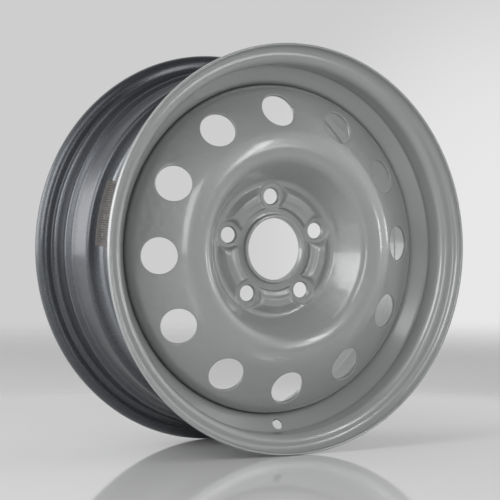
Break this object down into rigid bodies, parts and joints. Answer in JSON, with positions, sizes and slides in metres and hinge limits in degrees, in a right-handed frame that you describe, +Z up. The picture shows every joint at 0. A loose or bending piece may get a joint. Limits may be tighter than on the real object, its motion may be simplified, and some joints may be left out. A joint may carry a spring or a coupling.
{
  "type": "steel wheel",
  "caption": "Pressed steel road wheel: a rolled drop-centre rim with a stamped, vented disc welded into its well, to be bolted to a hub.",
  "frame": {"origin": "on the spin axis, midway between the two flanges, which is the middle of the wheel's box", "axes": "+Y along the spin axis from the street side to the vehicle's side, so the face looks to -Y; +Z up as the wheel stands, with the valve hole at the bottom"},
  "size_m": [0.4148, 0.1784, 0.4146],
  "materials": {
    "rim_paint": "silver-grey baked enamel, semi-gloss, darker and coarser on the tyre side",
    "disc_paint": "silver-grey baked enamel, semi-gloss",
    "weld_paint": "weld beads under the same enamel"
  },
  "bodies": {
    "root": {"rim": "rim_paint", "wheel_disc": "disc_paint", "weld_bead_1": "weld_paint", "weld_bead_2": "weld_paint", "weld_bead_3": "weld_paint", "weld_bead_4": "weld_paint", "weld_bead_5": "weld_paint", "weld_bead_6": "weld_paint", "weld_bead_7": "weld_paint", "weld_bead_8": "weld_paint"}
  },
  "joints": []
}
